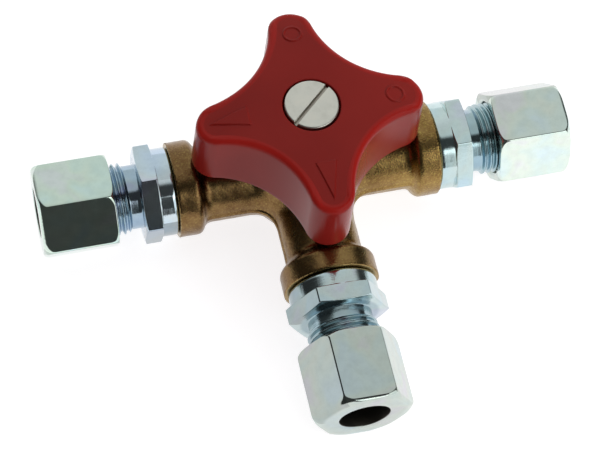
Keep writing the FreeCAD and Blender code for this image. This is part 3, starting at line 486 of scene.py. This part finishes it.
def handle_shell():
    n = 960
    th = star_angles(n)
    z0, ztop = HANDLE_LO.z / MM, HANDLE_HI.z / MM
    draft, wall = math.tan(math.radians(2.3)), 2.4

    def crown(r):
        # level in the middle, then falling more and more to the tips
        q = np.maximum(r - 6.5, 0)
        return ztop - 0.0062 * q ** 2
    rings = []      # each is (r array, z array)
    # skirt lip, outer edge rounded
    for k in np.linspace(0, math.pi / 2, 6):
        # k = 0 under the lip, k = 90 degrees on the outer wall
        inset = 0.45 * (1 - math.sin(k))
        z = z0 + 0.45 * (1 - math.cos(k))
        rings.append((star_radius(th, -inset - (z - z0) * draft), np.full_like(th, z)))
    edge = 1.75
    side_r = star_radius(th, 0.0) - 16.2 * draft
    rim = star_radius(th, -16.2 * draft - edge)
    z_edge = crown(rim) - edge                        # where the rounding starts
    for f in np.linspace(0.06, 1, 14):
        z = (z0 + 0.45) * (1 - f) + z_edge * f
        rings.append((star_radius(th, 0.0) - (z - z0) * draft, z))
    base_r = star_radius(th, 0.0) - (z_edge - z0) * draft
    # rounded top edge; the outline is truly offset, so the tips stay round
    for k in np.linspace(0, math.pi / 2, 11)[1:]:
        w = 1 - math.cos(k)
        mid = star_radius(th, -16.2 * draft - edge * w)
        r = mid + (base_r - star_radius(th, -16.2 * draft)) * (1 - w)
        rings.append((r, z_edge + edge * math.sin(k)))
    rim_r = rings[-1][0]
    # top face in to the counterbore, with the raised marks
    cb = 6.95
    m = 120
    for f in np.linspace(0, 1, m)[1:]:
        r = rim_r * (1 - f) + (cb + 0.3) * f
        z = crown(r)
        z = z + marks(r * np.cos(th), r * np.sin(th))
        rings.append((r, z))
    zc = crown(np.array([cb + 0.3]))[0]
    for k in np.linspace(0, math.pi / 2, 5)[1:]:
        rings.append((np.full_like(th, cb + 0.3 - 0.3 * math.sin(k)),
                      np.full_like(th, zc - 0.3 * (1 - math.cos(k)))))
    floor = 42.0
    rings += [(np.full_like(th, cb), np.full_like(th, z)) for z in (zc - 0.8, floor + 0.8, floor + 0.15)]
    rings += [(np.full_like(th, r), np.full_like(th, floor)) for r in (cb - 0.12, 5.5, 3.6, 3.0, 2.8)]
    rings += [(np.full_like(th, 2.8), np.full_like(th, 41.1))]
    # square hole in the boss
    sq = 3.55 / np.maximum(np.abs(np.cos(th)), np.abs(np.sin(th)))
    rings += [(sq * 0.95, np.full_like(th, 41.0)), (sq, np.full_like(th, 40.95)),
              (sq, np.full_like(th, 36.0)), (sq, np.full_like(th, 33.1)), (sq + 0.15, np.full_like(th, 32.8))]
    rings += [(np.full_like(th, r), np.full_like(th, z)) for r, z in
              ((7.2, 32.8), (7.5, 32.95), (7.6, 33.2), (7.6, 37.0), (7.7, 39.6), (8.0, 40.2), (8.6, 40.55))]
    # inside: roof out to the wall, and down the wall
    roof = 40.6
    inner = star_radius(th, -wall - (roof - z0) * draft)
    for f in (0.15, 0.4, 0.7, 0.93):
        rings.append((8.6 * (1 - f) + inner * f, np.full_like(th, roof)))
    rings.append((inner - 0.1, np.full_like(th, roof - 0.1)))
    for f in (0.03, 0.3, 0.6, 0.97):
        z = roof * (1 - f) + z0 * f
        rings.append((star_radius(th, -wall - (z - z0) * draft), np.full_like(th, z)))
    rings.append((star_radius(th, -wall + 0.2), np.full_like(th, z0)))
    v = np.concatenate([np.stack([r * np.cos(th), r * np.sin(th), z], -1) for r, z in rings])
    v[:, 2] = np.maximum(v[:, 2], z0)
    ob = new_object("star_handle_shell", v * MM, loop_grid(len(rings), n))
    # painted highlight: a lighter red band along the rounded top edge
    rim_highlight_w = np.concatenate([np.full(len(th), 0.0) for _ in rings])
    for i in range(20, 31):
        if i < len(rings):
            rim_highlight_w[i * n:(i + 1) * n] = math.sin(math.pi * (i - 19) / 12)
    add_attribute(ob, "rim_highlight", rim_highlight_w)
    return ob


def marks(x, y):
    """Height of the raised marks: rings on two arms, arrows on the arms over the open ports."""
    hgt = np.zeros_like(x)
    for cx, cy in ((20.6, 0.0), (0.0, 20.6)):
        d = np.abs(np.hypot(x - cx, y - cy) - 2.1) - 0.24
        hgt = np.maximum(hgt, 0.3 * (1 - smoothstep(-0.06, 0.10, d)))
    for ax, ay in ((-1.0, 0.0), (0.0, -1.0)):
        p = x * ax + y * ay
        s = np.abs(-x * ay + y * ax)
        tipd, based, half = 24.6, 15.2, 2.55
        slope = half / (tipd - based)
        d = np.maximum(based - p, (s - (tipd - p) * slope) / math.hypot(1, slope))
        hgt = np.maximum(hgt, 0.34 * (1 - smoothstep(-0.14, 0.06, d)))
    return hgt


# ----------------------------------------------------------- handle screw
def slotted_screw():
    n = 360
    th = np.linspace(0, TAU, n, endpoint=False)
    low, top = SCREW_LO.z / MM, SCREW_HI.z / MM
    under = 42.8
    turn = math.radians(42.0)
    depth, half = 1.3, 0.40

    def dip(r):
        s = np.abs(r * np.sin(th))
        return depth * (1 - smoothstep(half - 0.02, half + 0.07, s))
    rows = []
    rows += [(1.4, low), (1.9, low + 0.1), (2.3, low + 0.45)]
    for z in np.arange(low + 0.6, low + 7.4, 0.1):
        ph = (z / 0.8 - th / TAU); ph = ph - np.floor(ph)
        rows.append((2.05 + 0.36 * (1 - np.abs(2 * ph - 1)), z))
    rows += [(2.3, low + 7.5), (2.4, under - 0.3), (2.6, under)]
    rows += [(6.2, under), (6.4, under + 0.06), (6.5, under + 0.2), (6.5, top - 0.9), (6.5, top - 0.42)]
    for k in np.linspace(0, math.pi / 2, 6):
        rows.append((6.5 - 0.38 * (1 - math.cos(k)), top - 0.38 + 0.38 * math.sin(k)))
    for r in np.linspace(6.05, 0.06, 90):
        rows.append((r, top - 0.0))
    R = np.stack([np.full(n, float(r)) if np.isscalar(r) else r for r, z in rows])
    Z = np.stack([np.full(n, float(z)) if np.isscalar(z) else z for r, z in rows])
    first = len(rows) - 90 - 6
    for i in range(first, len(rows)):
        Z[i] = np.minimum(Z[i], top - dip(R[i]))
    for i in (first - 1, first - 2):
        Z[i] = np.minimum(Z[i], top - dip(R[i]) * (1.0 if i == first - 1 else 0.85))
    x, y = R * np.cos(th), R * np.sin(th)
    c, s = math.cos(turn), math.sin(turn)
    V = np.stack([x * c - y * s, x * s + y * c, Z], -1).reshape(-1, 3)
    m = len(rows)
    i = np.arange(m - 1)[:, None]; j = np.arange(n)[None, :]
    q = np.stack([i * n + j, i * n + (j + 1) % n, (i + 1) * n + (j + 1) % n, (i + 1) * n + j], -1).reshape(-1, 4)
    V = np.vstack([V, [0, 0, low], [0, 0, top - depth]])
    tri0 = [(len(V) - 2, (j + 1) % n, j) for j in range(n)]
    tri1 = [(len(V) - 1, (m - 1) * n + j, (m - 1) * n + (j + 1) % n) for j in range(n)]
    ob = new_object("slotted_handle_screw", V * MM, [tuple(f) for f in q] + tri0 + tri1)
    rad = np.hypot(V[:, 0], V[:, 1])
    add_attribute(ob, "lathe", rad + V[:, 2] * 0.7)
    side = np.abs(-V[:, 0] * s + V[:, 1] * c)
    # slot walls and floor, which the material darkens as painted shade
    add_attribute(ob, "slot_shade", ((V[:, 2] < top - 0.05) & (side < 0.46) & (V[:, 2] > top - 1.35)).astype(float))
    return ob


# -------------------------------------------------------------- materials
class Nodes:
    """Short-hand for building a material's node tree."""

    def __init__(self, name):
        self.mat = bpy.data.materials.new(name)
        self.mat.use_nodes = True
        self.t = self.mat.node_tree
        self.t.nodes.clear()
        self.out = self.t.nodes.new("ShaderNodeOutputMaterial")
        self.b = self.t.nodes.new("ShaderNodeBsdfPrincipled")
        self.t.links.new(self.b.outputs[0], self.out.inputs[0])
        self.co = self.t.nodes.new("ShaderNodeTexCoord").outputs["Object"]

    def n(self, kind, **kw):
        x = self.t.nodes.new(kind)
        for k, v in kw.items():
            setattr(x, k, v)
        return x

    def link(self, a, b):
        self.t.links.new(a, b)

    def set(self, node, key, val):
        if hasattr(val, "links") or isinstance(val, bpy.types.NodeSocket):
            self.link(val, node.inputs[key])
        else:
            node.inputs[key].default_value = val

    def noise(self, scale, detail=2.0, rough=0.5, distort=0.0, co=None, dims="3D"):
        x = self.n("ShaderNodeTexNoise", noise_dimensions=dims)
        if dims == "1D":
            self.set(x, "W", co)
        else:
            self.link(co or self.co, x.inputs["Vector"])
        self.set(x, "Scale", scale); self.set(x, "Detail", detail)
        self.set(x, "Roughness", rough); self.set(x, "Distortion", distort)
        return x.outputs[0]

    def voronoi(self, scale, feature="F1", co=None):
        x = self.n("ShaderNodeTexVoronoi", feature=feature)
        self.link(co or self.co, x.inputs["Vector"])
        self.set(x, "Scale", scale)
        return x.outputs["Distance"]

    def ramp(self, fac, stops):
        x = self.n("ShaderNodeValToRGB")
        self.link(fac, x.inputs[0])
        e = x.color_ramp.elements
        while len(e) < len(stops):
            e.new(0.5)
        for i, (p, c) in enumerate(stops):
            e[i].position = p
            e[i].color = (c[0], c[1], c[2], 1) if hasattr(c, "__len__") else (c, c, c, 1)
        return x.outputs[0]

    def math(self, op, a, b=0.0, c=0.0, clamp=False):
        x = self.n("ShaderNodeMath", operation=op, use_clamp=clamp)
        for i, v in enumerate((a, b, c)):
            self.set(x, i, v)
        return x.outputs[0]

    def mix(self, fac, a, b, blend="MIX"):
        x = self.n("ShaderNodeMix", data_type="RGBA", blend_type=blend)
        self.set(x, 0, fac)
        for i, v in ((6, a), (7, b)):
            self.set(x, i, (*v, 1.0) if isinstance(v, tuple) and len(v) == 3 else v)
        return x.outputs[2]

    def attr(self, name):
        return self.n("ShaderNodeAttribute", attribute_name=name).outputs["Fac"]

    def bump(self, height, strength, dist, normal=None):
        x = self.n("ShaderNodeBump")
        self.set(x, "Height", height); self.set(x, "Strength", strength); self.set(x, "Distance", dist)
        if normal is not None:
            self.link(normal, x.inputs["Normal"])
        return x.outputs[0]


def forged_brass():
    m = Nodes("forged_brass_skin")
    big = m.noise(70, 3, 0.6)
    mid = m.noise(500, 4, 0.65)
    fine = m.noise(2300, 3, 0.7)
    grain = m.voronoi(2600)
    base = m.ramp(big, [(0.30, (0.215, 0.128, 0.056)), (0.50, (0.290, 0.182, 0.078)), (0.72, (0.400, 0.275, 0.112))])
    stain = m.ramp(mid, [(0.35, (0.72, 0.66, 0.60)), (0.60, (1.0, 1.0, 1.0))])
    col = m.mix(0.7, base, stain, "MULTIPLY")
    # painted glints: bright yellow specks mixed into the colour
    painted_glint = m.ramp(fine, [(0.50, 0.0), (0.70, 1.0)])
    col = m.mix(m.math("MULTIPLY", painted_glint, 0.5), col, (0.62, 0.50, 0.17))
    # painted light and shade: the skin is painted darker and browner towards the left and front, lighter and yellower
    # towards the right; its grain is also smoother towards the left and sharper towards the right
    sx = m.n("ShaderNodeSeparateXYZ")
    m.link(m.co, sx.inputs[0])
    way = m.n("ShaderNodeMapRange", interpolation_type="SMOOTHSTEP")
    m.link(m.math("MULTIPLY_ADD", sx.outputs[1], 0.6, sx.outputs[0]), way.inputs[0])
    way.inputs[1].default_value, way.inputs[2].default_value = -0.030, 0.034
    way = way.outputs[0]
    col = m.mix(1.0, col, m.mix(way, (0.68, 0.62, 0.62), (1.06, 1.04, 0.86)), "MULTIPLY")
    cut = m.attr("machined")
    col = m.mix(m.math("MULTIPLY", cut, 0.8), col, (0.34, 0.24, 0.10))
    m.set(m.b, "Base Color", col)
    m.set(m.b, "Metallic", 1.0)
    rough = m.ramp(mid, [(0.3, 0.32), (0.7, 0.20)])
    m.set(m.b, "Roughness", rough)
    hgt = m.math("ADD", m.math("MULTIPLY", fine, 0.8), m.math("MULTIPLY", grain, 0.9))
    keep = m.math("SUBTRACT", 1.0, m.math("MULTIPLY", cut, 0.85))
    nb = m.bump(m.math("MULTIPLY", m.math("MULTIPLY", hgt, keep), m.math("MULTIPLY_ADD", way, 0.65, 0.35)),
                0.42, 0.0001)
    nb = m.bump(m.math("MULTIPLY", mid, keep), 0.04, 0.0003, nb)
    m.set(m.b, "Normal", nb)
    return m.mat


def zinc(name, tint, dull=0.0):
    """Bright zinc plate over turned and milled steel, with a faint play of colour."""
    m = Nodes(name)
    hue = m.noise(90, 2, 0.5, 0.6)
    cloud = m.noise(420, 4, 0.6)
    fine = m.noise(2600, 3, 0.7)
    rings = m.noise(9.0, 3, 0.7, co=m.attr("lathe"), dims="1D")
    turned = m.math("SUBTRACT", 1.0, m.attr("flat"))
    play = m.ramp(hue, [(0.32, (0.94, 1.01, 1.06)), (0.44, (0.97, 1.02, 0.99)),
                        (0.55, (1.02, 1.02, 0.95)), (0.66, (1.05, 0.97, 1.02))])
    col = m.mix(1.0, (*tint,), play, "MULTIPLY")
    spots = m.ramp(cloud, [(0.30, 0.90), (0.60, 1.0)])
    col = m.mix(0.8, col, spots, "MULTIPLY")
    specks = m.ramp(fine, [(0.24, 0.72), (0.36, 1.0)])
    col = m.mix(0.6, col, specks, "MULTIPLY")
    # painted shading: colour darkened or brightened per flat, and darkened on the inner rows
    col = m.mix(1.0, col, m.math("SUBTRACT", 1.0, m.attr("painted_shading")), "MULTIPLY")
    # the passivation is bluer in the thread and on the neck, and these are also darkened there as painted shade
    col = m.mix(m.attr("neck_shade_and_blue"), col, (0.70, 0.77, 0.82), "MULTIPLY")
    # painted shade: the bore is made nearly black
    col = m.mix(m.math("MULTIPLY", m.attr("bore"), 0.9), col, (0.10, 0.080, 0.066))
    m.set(m.b, "Base Color", col)
    m.set(m.b, "Metallic", 1.0)
    r = m.math("ADD", m.math("MULTIPLY", cloud, 0.08), 0.055 + dull)
    r = m.math("ADD", r, m.math("MULTIPLY", m.attr("bore"), 0.3))
    m.set(m.b, "Roughness", r)
    nb = m.bump(m.math("MULTIPLY", rings, turned), 0.25, 0.00006)
    nb = m.bump(fine, 0.12, 0.00003, nb)
    nb = m.bump(cloud, 0.05, 0.0002, nb)
    m.set(m.b, "Normal", nb)
    return m.mat


def red_plastic():
    m = Nodes("red_moulded_plastic")
    big = m.noise(60, 2, 0.5)
    fine = m.noise(900, 2, 0.5)
    col = m.ramp(big, [(0.3, (0.245, 0.014, 0.011)), (0.7, (0.285, 0.017, 0.013))])
    # painted highlight along the rounded top edge
    col = m.mix(m.math("MULTIPLY", m.attr("rim_highlight"), 0.45), col, (0.50, 0.016, 0.012))
    m.set(m.b, "Base Color", col)
    m.set(m.b, "Roughness", m.math("ADD", m.math("MULTIPLY", fine, 0.08), 0.16))
    m.set(m.b, "IOR", 1.205)
    nb = m.bump(fine, 0.05, 0.00004)
    nb = m.bump(big, 0.15, 0.0004, nb)
    m.set(m.b, "Normal", nb)
    return m.mat


def screw_plate():
    m = Nodes("faced_screw_head")
    rings = m.noise(14.0, 4, 0.7, co=m.attr("lathe"), dims="1D")
    cloud = m.noise(240, 4, 0.6)
    col = m.ramp(cloud, [(0.32, (0.60, 0.59, 0.53)), (0.50, (0.68, 0.67, 0.61)), (0.66, (0.72, 0.70, 0.63))])
    # painted shade in the slot
    col = m.mix(m.math("MULTIPLY", m.attr("slot_shade"), 0.8), col, (0.42, 0.38, 0.33))
    m.set(m.b, "Base Color", col)
    m.set(m.b, "Metallic", 1.0)
    m.set(m.b, "Roughness", m.math("ADD", m.math("MULTIPLY", cloud, 0.2), 0.26))
    nb = m.bump(rings, 0.35, 0.00005)
    nb = m.bump(cloud, 0.15, 0.0002, nb)
    m.set(m.b, "Normal", nb)
    return m.mat


def turned_brass():
    m = Nodes("turned_brass_bright")
    cloud = m.noise(220, 3, 0.6)
    fine = m.noise(2400, 2, 0.6)
    m.set(m.b, "Base Color", m.ramp(cloud, [(0.3, (0.50, 0.34, 0.13)), (0.7, (0.66, 0.48, 0.21))]))
    m.set(m.b, "Metallic", 1.0)
    m.set(m.b, "Roughness", m.math("ADD", m.math("MULTIPLY", fine, 0.15), 0.2))
    m.set(m.b, "Normal", m.bump(fine, 0.2, 0.00005))
    return m.mat


def rubber():
    m = Nodes("nitrile_rubber")
    fine = m.noise(1500, 3, 0.6)
    m.set(m.b, "Base Color", m.ramp(fine, [(0.3, (0.010, 0.010, 0.011)), (0.7, (0.028, 0.028, 0.030))]))
    m.set(m.b, "Roughness", m.math("ADD", m.math("MULTIPLY", fine, 0.25), 0.45))
    m.set(m.b, "Normal", m.bump(fine, 0.3, 0.00006))
    return m.mat


def ptfe():
    m = Nodes("white_seat_plastic")
    fine = m.noise(900, 3, 0.6)
    m.set(m.b, "Base Color", m.ramp(fine, [(0.3, (0.74, 0.74, 0.70)), (0.7, (0.86, 0.86, 0.83))]))
    m.set(m.b, "Roughness", m.math("ADD", m.math("MULTIPLY", fine, 0.2), 0.3))
    m.set(m.b, "Normal", m.bump(fine, 0.15, 0.00005))
    return m.mat


def ball_plate():
    m = Nodes("plated_ball")
    cloud = m.noise(300, 3, 0.6)
    m.set(m.b, "Base Color", m.ramp(cloud, [(0.3, (0.62, 0.63, 0.65)), (0.7, (0.74, 0.75, 0.77))]))
    m.set(m.b, "Metallic", 1.0)
    m.set(m.b, "Roughness", m.math("ADD", m.math("MULTIPLY", cloud, 0.10), 0.08))
    m.set(m.b, "Normal", m.bump(cloud, 0.05, 0.0001))
    return m.mat


def paint(ob, mat):
    ob.data.materials.clear()
    ob.data.materials.append(mat)


BRASS, RED, SCREW = forged_brass(), red_plastic(), screw_plate()
NUT_MAT = {"left": zinc("zinc_plate_nut_left", (0.58, 0.69, 0.65)),
           "right": zinc("zinc_plate_nut_right", (0.61, 0.68, 0.66)),
           "branch": zinc("zinc_plate_nut_branch", (0.56, 0.62, 0.61))}
STUD_MAT = {"left": zinc("zinc_plate_stud_left", (0.56, 0.64, 0.73)),
            "right": zinc("zinc_plate_stud_right", (0.56, 0.68, 0.72)),
            "branch": zinc("zinc_plate_stud_branch", (0.54, 0.63, 0.67))}
TURNED, RUBBER, PTFE, BALL = turned_brass(), rubber(), ptfe(), ball_plate()
RING = zinc("zinc_cutting_ring", (0.50, 0.50, 0.48), 0.1)

NODE_MATERIAL = {"flow_ball": BALL, "stem": TURNED, "bonnet": TURNED,
                 "stem_thrust_washer": PTFE, "handle_lock_washer": SCREW}
for name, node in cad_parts.items():
    if name in NODE_MATERIAL:
        paint(node, NODE_MATERIAL[name])
    elif "o_ring" in name or "collar_seal" in name:
        paint(node, RUBBER)
    elif "ball_seat" in name:
        paint(node, PTFE)
    elif "retainer" in name:
        paint(node, TURNED)
    elif "cutting_ring" in name:
        paint(node, RING)
    elif name == "valve_body":
        paint(node, BRASS)
    elif name == "handle":
        paint(node, RED)
    elif name == "handle_screw":
        paint(node, SCREW)
    elif "union_nut" in name:
        paint(node, NUT_MAT[name.split("_")[0]])
    else:
        paint(node, STUD_MAT[name.split("_")[0]])

# ----------------------------------------------------------------- pieces
body = forged_body()
paint(body, BRASS)
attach(body, "valve_body")
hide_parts("valve_body")

for side in OUT:
    s = stud_fitting(side)
    paint(s, STUD_MAT[side])
    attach(s, "valve_body")
    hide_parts("%s_stud_fitting" % side)
    k = union_nut(side)
    paint(k, NUT_MAT[side])
    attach(k, "%s_nut" % side)
    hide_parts("%s_union_nut" % side)

h = handle_shell()
paint(h, RED)
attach(h, "handle_and_ball")
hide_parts("handle")

sc = slotted_screw()
paint(sc, SCREW)
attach(sc, "handle_and_ball")
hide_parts("handle_screw")

# ------------------------------------------------------------------ stage
fl = new_object("studio_floor", [(-1.6, -1.6, 0), (1.6, -1.6, 0), (1.6, 1.6, 0), (-1.6, 1.6, 0)],
                [(0, 1, 2, 3)], smooth=False)
fm = Nodes("pale_floor")
fn = fm.noise(35, 3, 0.5)
paper = fm.ramp(fn, [(0.3, (0.90, 0.90, 0.90)), (0.7, (0.93, 0.93, 0.93))])
# the floor glows, brightest round the part: a painted pool of light that falls off softly to the left, well past the
# part
fs = fm.n("ShaderNodeSeparateXYZ")
fm.link(fm.co, fs.inputs[0])
painted_light_pool = fm.n("ShaderNodeMapRange", interpolation_type="SMOOTHSTEP")
fm.link(fs.outputs[0], painted_light_pool.inputs[0])
painted_light_pool.inputs[1].default_value, painted_light_pool.inputs[2].default_value = -0.90, -0.12
fm.set(fm.b, "Roughness", 0.75)
fm.set(fm.b, "Specular IOR Level", 0.2)
fm.set(fm.b, "Base Color", fm.mix(0.5, paper, (0.0, 0.0, 0.0)))
fm.set(fm.b, "Emission Color", (1.0, 0.985, 0.995, 1.0))
# painted glow: emission brighter in the pool of light
fm.set(fm.b, "Emission Strength", fm.math("MULTIPLY_ADD", painted_light_pool.outputs[0], 0.30, 0.54))
paint(fl, fm.mat)

# camera, at the reference view
R = ((0.97218298, -0.22217979, 0.07413764),
     (-0.16730301, -0.88023725, -0.44406315),
     (0.16392057, 0.41930719, -0.89292303))
C = (-87.317, -228.718, 454.504 + AXIS_Z)
cam = bpy.data.cameras.new("main_camera")
cam.sensor_width = 36.0
cam.lens = 2062.13 * 36.0 / 600.0
cam.clip_start, cam.clip_end = 0.01, 20
co = bpy.data.objects.new("main_camera", cam)
bpy.context.scene.collection.objects.link(co)
co.matrix_world = Matrix(((R[0][0], -R[1][0], -R[2][0], C[0] * MM),
                          (R[0][1], -R[1][1], -R[2][1], C[1] * MM),
                          (R[0][2], -R[1][2], -R[2][2], C[2] * MM),
                          (0, 0, 0, 1)))
bpy.context.scene.camera = co

# soft studio surroundings: a pale dome, with a darker room low in front
world = bpy.data.worlds.new("studio_world")
bpy.context.scene.world = world
world.use_nodes = True
wt = world.node_tree
wt.nodes.clear()
wout = wt.nodes.new("ShaderNodeOutputWorld")
bg = wt.nodes.new("ShaderNodeBackground")
wt.links.new(bg.outputs[0], wout.inputs[0])
tc = wt.nodes.new("ShaderNodeTexCoord")
sep = wt.nodes.new("ShaderNodeSeparateXYZ")
wt.links.new(tc.outputs["Generated"], sep.inputs[0])


def wmath(op, a, b=0.0, c=0.0, clamp=False):
    x = wt.nodes.new("ShaderNodeMath"); x.operation = op; x.use_clamp = clamp
    for i, v in enumerate((a, b, c)):
        if isinstance(v, bpy.types.NodeSocket):
            wt.links.new(v, x.inputs[i])
        else:
            x.inputs[i].default_value = v
    return x.outputs[0]


def wstep(a, b, x):
    m = wt.nodes.new("ShaderNodeMapRange"); m.interpolation_type = "SMOOTHSTEP"
    wt.links.new(x, m.inputs[0])
    m.inputs[1].default_value = a; m.inputs[2].default_value = b
    return m.outputs[0]


X, Y, Z = sep.outputs
flat = wmath("SQRT", wmath("ADD", wmath("ADD", wmath("MULTIPLY", X, X), wmath("MULTIPLY", Y, Y)), 1e-5))
back = wstep(0.50, 0.85, wmath("DIVIDE", Y, flat))
# the overhead light sits towards the back and the right
tilt = wmath("ADD", Z, wmath("ADD", wmath("MULTIPLY", X, 0.184), wmath("MULTIPLY", Y, 0.835)))
tilt = wmath("SUBTRACT", tilt, wmath("MULTIPLY", wmath("MAXIMUM", wmath("SUBTRACT", -0.15, X), 0.0), 0.45))
low = wstep(0.985, 0.80, tilt)
dark = wmath("MULTIPLY", low, wmath("SUBTRACT", 1.0, back))
front = wstep(0.10, 0.35, wmath("MULTIPLY", Y, -1.0))
# a tall softbox in front on the right, brightest along its top
win_el = wmath("ADD", wmath("MULTIPLY", wstep(0.74, 0.70, Z), 0.50),
               wmath("MULTIPLY", wmath("MULTIPLY", wstep(0.54, 0.62, Z), wstep(0.76, 0.72, Z)), 0.50))
win_x = wmath("DIVIDE", X, flat)
win_az = wmath("MULTIPLY", wstep(0.19, 0.27, win_x), wstep(0.96, 0.86, win_x))
window = wmath("MULTIPLY", wmath("MULTIPLY", win_el, win_az), front)
top = wmath("ADD", wmath("MULTIPLY", wstep(0.35, 0.75, Y), 0.14), 0.72)
level = wmath("MULTIPLY", top, wmath("SUBTRACT", 1.0, wmath("MULTIPLY", dark, 0.93)))
level = wmath("ADD", level, wmath("MULTIPLY", window, 2.2))
wt.links.new(level, bg.inputs["Strength"])
bg.inputs["Color"].default_value = (0.97, 1.0, 0.985, 1)


def area(name, loc, aim, size, power, color=(1, 1, 1)):
    l = bpy.data.lights.new(name, "AREA")
    l.shape = "RECTANGLE"
    l.size, l.size_y = size
    l.energy = power
    l.color = color
    o = bpy.data.objects.new(name, l)
    bpy.context.scene.collection.objects.link(o)
    o.location = loc
    o.rotation_mode = "QUATERNION"
    o.rotation_quaternion = (Vector(aim) - Vector(loc)).to_track_quat("-Z", "Y")
    o.visible_glossy = False
    return o


area("softbox_over", (0.10, 0.25, 0.95), (0, 0, 0), (0.9, 0.9), 1.65)
area("softbox_right", (0.75, -0.55, 0.55), (0, 0, 0), (0.5, 0.4), 1.7)

vs = bpy.context.scene.view_settings
vs.view_transform = "Standard"
vs.look = "None"
vs.exposure = 0.0
